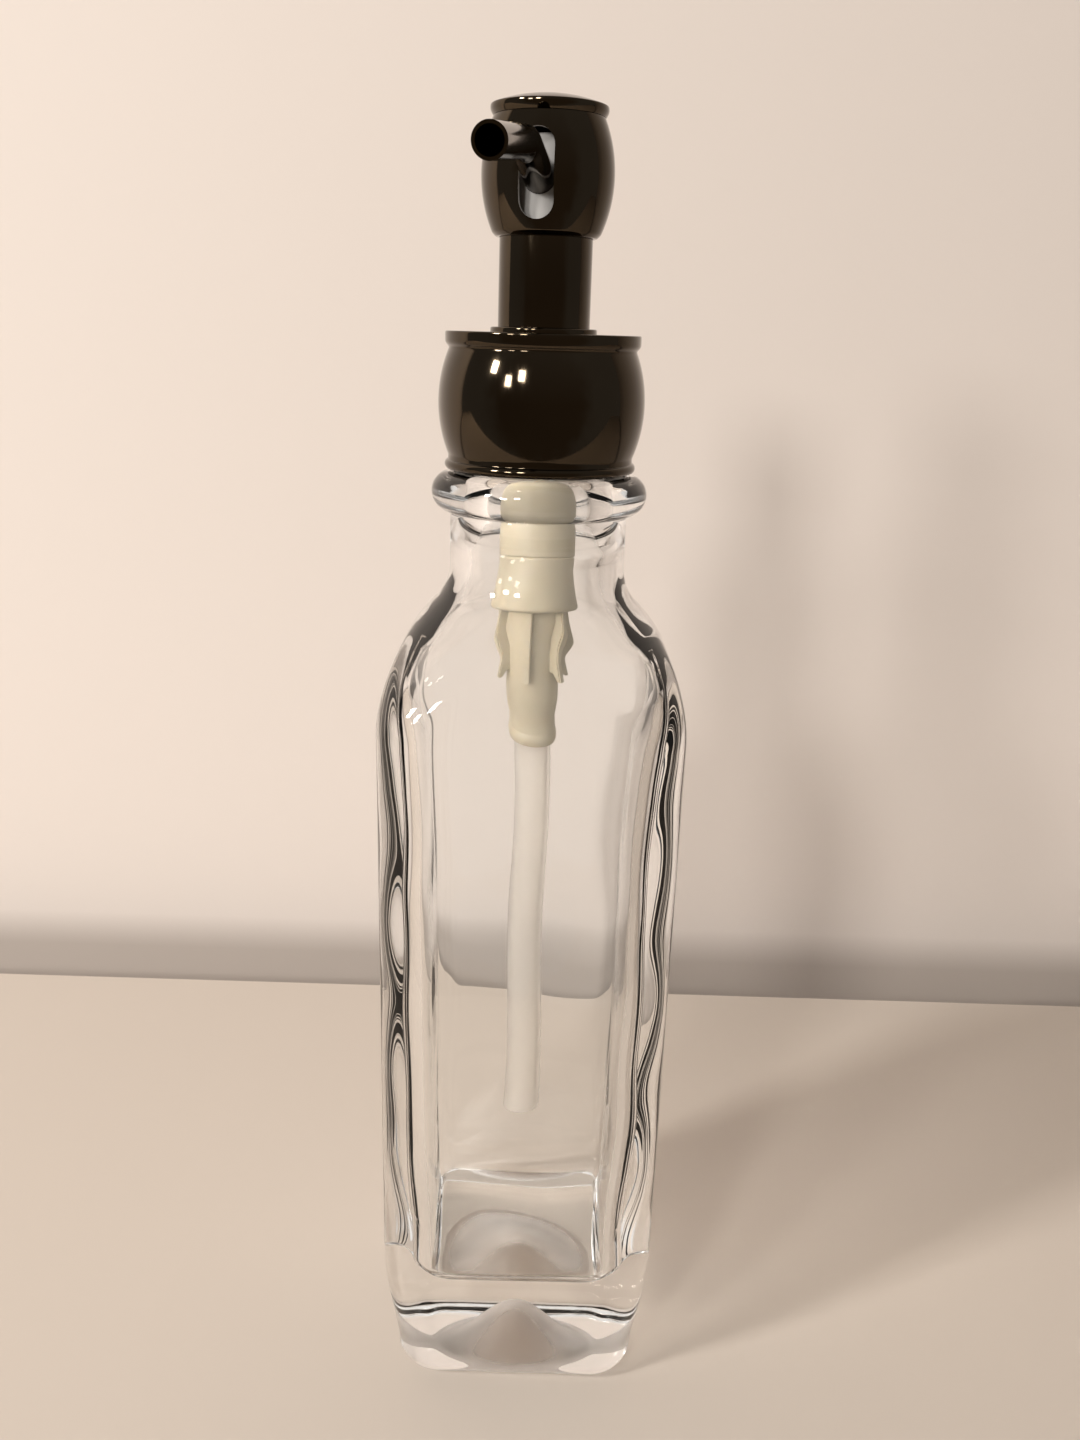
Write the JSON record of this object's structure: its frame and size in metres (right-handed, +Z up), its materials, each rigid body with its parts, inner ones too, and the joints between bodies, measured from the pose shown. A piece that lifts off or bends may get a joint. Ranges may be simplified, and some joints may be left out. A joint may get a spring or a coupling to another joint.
{
  "type": "pump oil bottle",
  "caption": "Square clear glass oil bottle with a heavy base, domed shoulders and a threaded neck, closed by a dark metal press pump with a bent spout and a dip tube.",
  "frame": {"origin": "centre of the square base, on the surface that the bottle stands on", "axes": "+Z up along the bottle's axis, front towards -Y, +X to the right seen from the front"},
  "size_m": [0.0568, 0.0753, 0.2512],
  "materials": {
    "clear_glass": "clear, polished",
    "gunmetal": "dark polished plating",
    "cream_plastic": "smooth moulded",
    "white_plastic": "smooth moulded",
    "tube_plastic": "milky, translucent",
    "ball_steel": "polished",
    "spring_steel": "drawn wire",
    "gasket": "soft foam sheet"
  },
  "bodies": {
    "bottle": {"glass_bottle": "clear_glass"},
    "pump": {"pump_housing": "cream_plastic", "neck_gasket": "gasket", "chaplet": "cream_plastic", "dip_tube": "tube_plastic", "return_spring": "spring_steel"},
    "closure": {"closure_cap": "white_plastic", "collar_shell": "gunmetal", "guide_ring": "gunmetal"},
    "plunger": {"plunger_stem": "white_plastic", "piston": "white_plastic"},
    "head": {"stem_sleeve": "gunmetal", "head_shell": "gunmetal", "head_cap": "gunmetal", "actuator": "white_plastic", "spout_tube": "gunmetal"},
    "suction_valve": {"inlet_ball": "ball_steel"},
    "delivery_valve": {"outlet_ball": "ball_steel"}
  },
  "joints": [
    {"name": "pump_lift", "type": "slide", "parent": "bottle", "child": "pump", "axis": [0, 0, 1], "range_m": [0, 0.00525]},
    {"name": "closure_turn", "type": "hinge", "parent": "pump", "child": "closure", "pos_m": [0, 0, 0.19], "axis": [0, 0, 1], "range_deg": [0, 450]},
    {"name": "pump_press", "type": "slide", "parent": "pump", "child": "plunger", "axis": [0, 0, -1], "range_m": [0, 0.009], "stiffness_N_per_m": 600, "springref_m": -0.01, "deforming": ["return_spring"]},
    {"name": "head_swivel", "type": "hinge", "parent": "plunger", "child": "head", "pos_m": [0, 0, 0.22], "axis": [0, 0, 1], "continuous": true},
    {"name": "suction_lift", "type": "slide", "parent": "pump", "child": "suction_valve", "axis": [0, 0, 1], "range_m": [0, 0.0015]},
    {"name": "delivery_lift", "type": "slide", "parent": "plunger", "child": "delivery_valve", "axis": [0, 0, 1], "range_m": [0, 0.0015]}
  ],
  "couplings": [
    {"joint": "closure_turn", "follows": "pump_lift", "rad_per_m": 1496}
  ]
}
